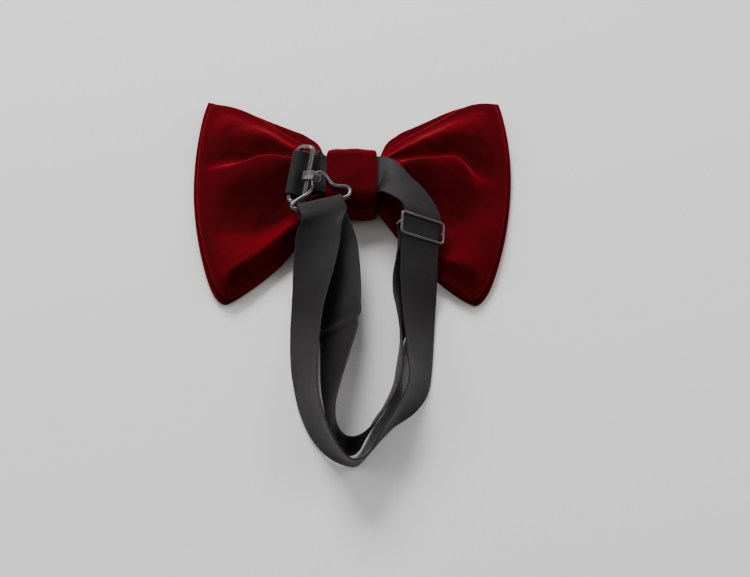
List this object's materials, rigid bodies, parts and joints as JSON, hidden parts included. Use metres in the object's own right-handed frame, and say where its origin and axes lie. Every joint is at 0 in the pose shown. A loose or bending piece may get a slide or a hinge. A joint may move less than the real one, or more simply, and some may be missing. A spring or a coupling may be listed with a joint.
{
  "type": "bow tie",
  "caption": "Pre-tied velvet butterfly bow tie lying face down, with a doubled neck strap, a wire slider and a hook and eye at its back.",
  "frame": {"origin": "middle of the knot's front face, which lies on the table", "axes": "+X to the right and +Y towards the top of the bow, seen from behind; +Z out of the bow's back, upwards as it lies"},
  "size_m": [0.1344, 0.1845, 0.0264],
  "materials": {
    "velvet": "deep crimson cotton velvet, short pile",
    "velvet_lining": "the same velvet, turned inwards",
    "velvet_thread": "matt crimson sewing thread",
    "interlining": "unbleached woven canvas",
    "ribbon": "black satin-faced ribbon with a fine crosswise rib",
    "enamelled_wire": "glossy black-grey enamel on bent wire",
    "thread": "matt black sewing thread"
  },
  "bodies": {
    "bow": {"front_bow_face": "velvet", "front_bow_interlining": "interlining", "front_bow_lining": "velvet_lining", "rear_bow_lining": "velvet_lining", "rear_bow_interlining": "interlining", "rear_bow_face": "velvet", "knot_wrap": "velvet", "knot_interlining": "interlining", "gathering_thread": "thread", "knot_stitches": "velvet_thread", "short_band": "ribbon", "short_band_stitches": "thread", "strap_sewn_lead": "ribbon", "strap_inner_run": "ribbon", "strap_inner_lead": "ribbon", "strap_outer_lead": "ribbon", "strap_outer_run": "ribbon"},
    "eye": {"eye": "enamelled_wire"},
    "hook": {"hook": "enamelled_wire", "strap_hook_fold": "ribbon"},
    "slider": {"slider_frame": "enamelled_wire", "slider_bar": "enamelled_wire", "strap_sewn_end": "ribbon", "sewn_end_stitches": "thread"}
  },
  "joints": [
    {"name": "eye_lift", "type": "hinge", "parent": "bow", "child": "eye", "pos_m": [-0.0235, -0.0028, 0.0188], "axis": [-0.1702, -0.921, -0.3504], "range_deg": [0, 40]},
    {"name": "hook_turn", "type": "hinge", "parent": "eye", "child": "hook", "pos_m": [-0.01731, -0.0049, 0.0213], "axis": [-0.1702, -0.921, -0.3504], "range_deg": [0, 25], "deforming": ["strap_inner_lead", "strap_outer_lead"]},
    {"name": "slider_slide", "type": "slide", "parent": "bow", "child": "slider", "axis": [-0.0504, -0.958, -0.2824], "range_m": [0, 0.006], "deforming": ["strap_sewn_lead"]}
  ]
}
